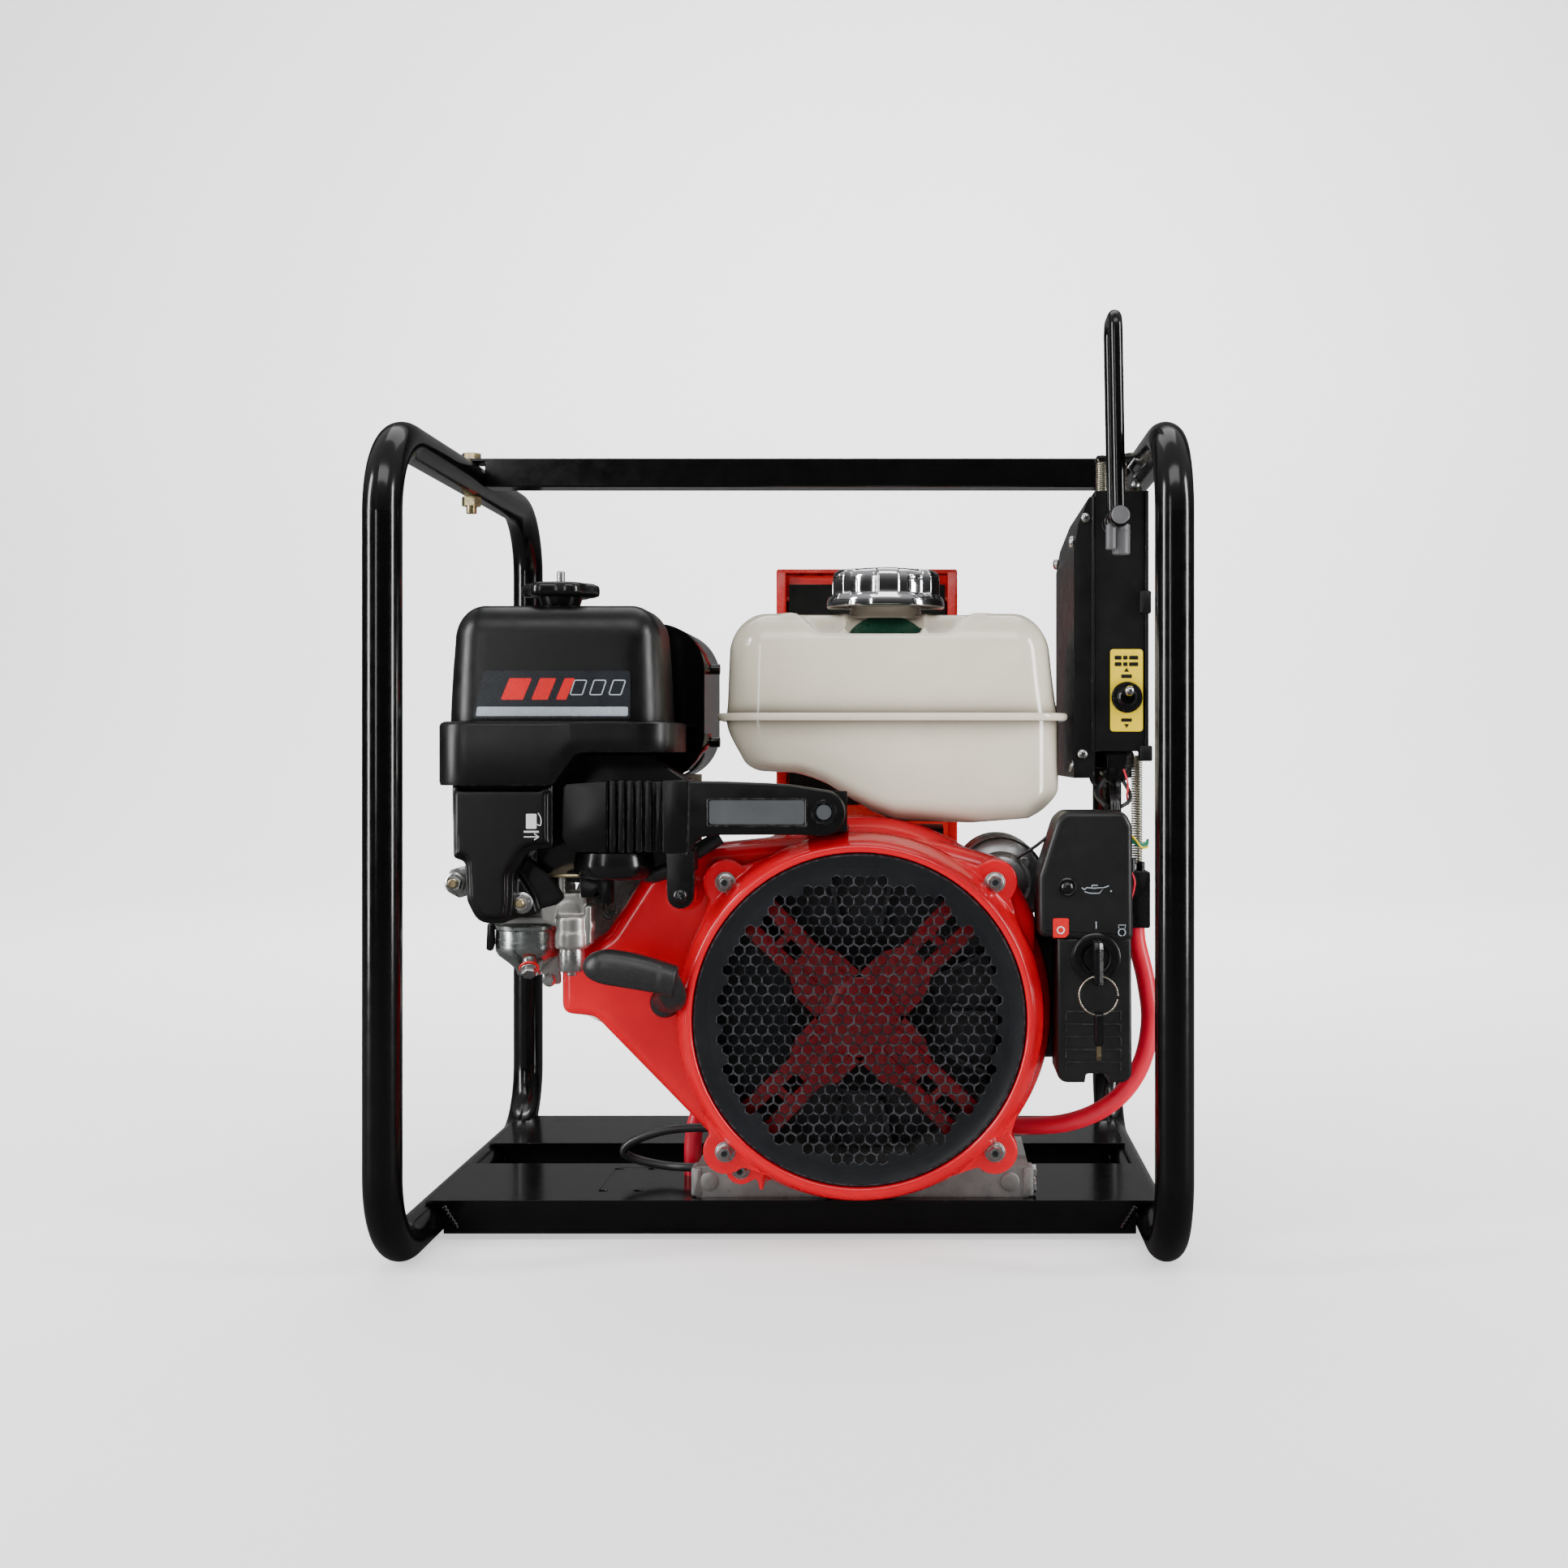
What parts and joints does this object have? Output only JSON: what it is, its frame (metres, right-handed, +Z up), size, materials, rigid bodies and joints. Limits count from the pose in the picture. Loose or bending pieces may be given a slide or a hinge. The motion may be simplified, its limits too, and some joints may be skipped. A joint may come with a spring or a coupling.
{
  "type": "portable generator",
  "caption": "Open tube-frame portable generator with an electric-start engine, fuel tank, fan grille, pull starter, control box, key switch and folding handle.",
  "frame": {"origin": "centre of the frame's footprint, on the ground plane under the hoops", "axes": "+X to the right seen from the starter side, +Y to the back along the crank axis, +Z up"},
  "size_m": [0.5374, 0.4574, 0.646],
  "materials": {
    "frame_black": "gloss black powder coat",
    "sheet_black": "satin black paint",
    "zinc": "zinc plate",
    "yellow_zinc": "yellow zinc plate",
    "cast_aluminium": "as cast",
    "machined_steel": "machined",
    "piston_alloy": "machined",
    "grey_paint": "satin grey paint",
    "iron_core": "varnished laminations",
    "ceramic_white": "glazed ceramic",
    "engine_red": "gloss red enamel",
    "cover_red": "gloss red paint",
    "tank_cream": "gloss cream enamel",
    "chrome": "bright chrome",
    "black_plastic": "fine textured",
    "knob_plastic": "gloss black",
    "filter_foam": "open foam",
    "label_yellow": "printed film",
    "red_plastic": "gloss",
    "grip_rubber": "satin rubber",
    "rope_white": "braided cord",
    "cable_red": "satin sheath",
    "cable_black": "satin sheath"
  },
  "bodies": {
    "frame": {"left_hoop": "frame_black", "right_hoop": "frame_black", "base_channels": "frame_black", "lift_bar": "frame_black", "frame_bolts": "yellow_zinc", "crankcase": "cast_aluminium", "crankcase_cover": "cast_aluminium", "main_bearings": "machined_steel", "cylinder_head": "cast_aluminium", "rocker_cover": "cast_aluminium", "spark_plug": "ceramic_white", "fan_housing": "engine_red", "recoil_housing": "engine_red", "fan_grille": "black_plastic", "housing_bolts": "zinc", "rope_guide": "grip_rubber", "starter_rope": "rope_white", "starter_motor": "grey_paint", "fuel_tank": "tank_cream", "tank_brackets": "sheet_black", "air_cleaner_base": "black_plastic", "air_cleaner_cover": "black_plastic", "air_filter": "filter_foam", "intake_elbow": "black_plastic", "intake_arm_cover": "black_plastic", "label_plates": "label_yellow", "carburettor": "cast_aluminium", "muffler": "machined_steel", "muffler_shield": "sheet_black", "alternator_housing": "grey_paint", "stator": "iron_core", "end_bell": "cast_aluminium", "rear_foot": "sheet_black", "generator_cover": "cover_red", "outlet_panel": "black_plastic", "control_box": "sheet_black", "control_box_cover": "sheet_black", "toggle_switch": "knob_plastic", "handle_bracket": "machined_steel", "key_box": "black_plastic", "panel_springs": "zinc", "red_battery_cable": "cable_red", "earth_cable": "cable_black", "wiring_harness": "cable_black"},
    "crank": {"crankshaft": "machined_steel", "flywheel_fan": "iron_core", "rotor": "iron_core"},
    "piston": {"piston": "piston_alloy", "piston_pin": "machined_steel"},
    "pulley": {"recoil_pulley": "black_plastic"},
    "grip": {"starter_grip": "grip_rubber"},
    "fuel_cap": {"fuel_cap": "chrome"},
    "cleaner_knob": {"air_cleaner_knob": "knob_plastic"},
    "valve_lever": {"fuel_valve_lever": "black_plastic"},
    "handle": {"folding_handle": "frame_black"},
    "toggle": {"toggle_bat": "zinc"},
    "key": {"ignition_key": "knob_plastic"},
    "key_ring": {"key_ring": "zinc"},
    "breaker": {"breaker_button": "red_plastic"},
    "oil_cap": {"oil_filler_cap": "black_plastic"}
  },
  "joints": [
    {"name": "engine_spin", "type": "hinge", "parent": "frame", "child": "crank", "pos_m": [0.0505, 0, 0.1615], "axis": [0, 1, 0], "continuous": true},
    {"name": "piston_slide", "type": "slide", "parent": "frame", "child": "piston", "axis": [-0.9063, 0, 0.4226], "range_m": [-0.029, 0.029]},
    {"name": "grip_pull", "type": "slide", "parent": "frame", "child": "grip", "axis": [-0.14, -0.8098, 0.5698], "range_m": [0, 0.7], "stiffness_N_per_m": 12, "springref_m": -0.5},
    {"name": "pulley_spin", "type": "hinge", "parent": "frame", "child": "pulley", "pos_m": [0.0505, -0.135, 0.1615], "axis": [0, 1, 0], "range_deg": [-850, 0]},
    {"name": "fuel_cap_turn", "type": "hinge", "parent": "frame", "child": "fuel_cap", "pos_m": [0.066, -0.066, 0.46], "axis": [0, 0, 1], "range_deg": [0, 90]},
    {"name": "cleaner_knob_turn", "type": "hinge", "parent": "frame", "child": "cleaner_knob", "pos_m": [-0.158, -0.129, 0.452], "axis": [0, 0, 1], "continuous": true},
    {"name": "fuel_valve_turn", "type": "hinge", "parent": "frame", "child": "valve_lever", "pos_m": [-0.126, -0.15, 0.244], "axis": [0, 1, 0], "range_deg": [0, 90]},
    {"name": "handle_fold", "type": "hinge", "parent": "frame", "child": "handle", "pos_m": [0.227, -0.134, 0.503], "axis": [0, 1, 0], "range_deg": [-90, 6]},
    {"name": "toggle_flip", "type": "hinge", "parent": "frame", "child": "toggle", "pos_m": [0.237, -0.111, 0.381], "axis": [1, 0, 0], "range_deg": [0, 26]},
    {"name": "key_turn", "type": "hinge", "parent": "frame", "child": "key", "pos_m": [0.2107, -0.156, 0.2027], "axis": [0, 1, 0], "range_deg": [-45, 45]},
    {"name": "key_ring_swing", "type": "hinge", "parent": "key", "child": "key_ring", "pos_m": [0.2107, -0.176, 0.1925], "axis": [0, 1, 0], "range_deg": [-25, 25]},
    {"name": "breaker_press", "type": "slide", "parent": "frame", "child": "breaker", "axis": [0, -1, 0], "range_m": [0, 0.003], "stiffness_N_per_m": 100, "springref_m": -0.002},
    {"name": "oil_cap_turn", "type": "hinge", "parent": "frame", "child": "oil_cap", "pos_m": [0.138, -0.04, 0.096], "axis": [1, 0, 0], "continuous": true}
  ],
  "couplings": [
    {"joint": "pulley_spin", "follows": "grip_pull", "rad_per_m": -20.53}
  ]
}
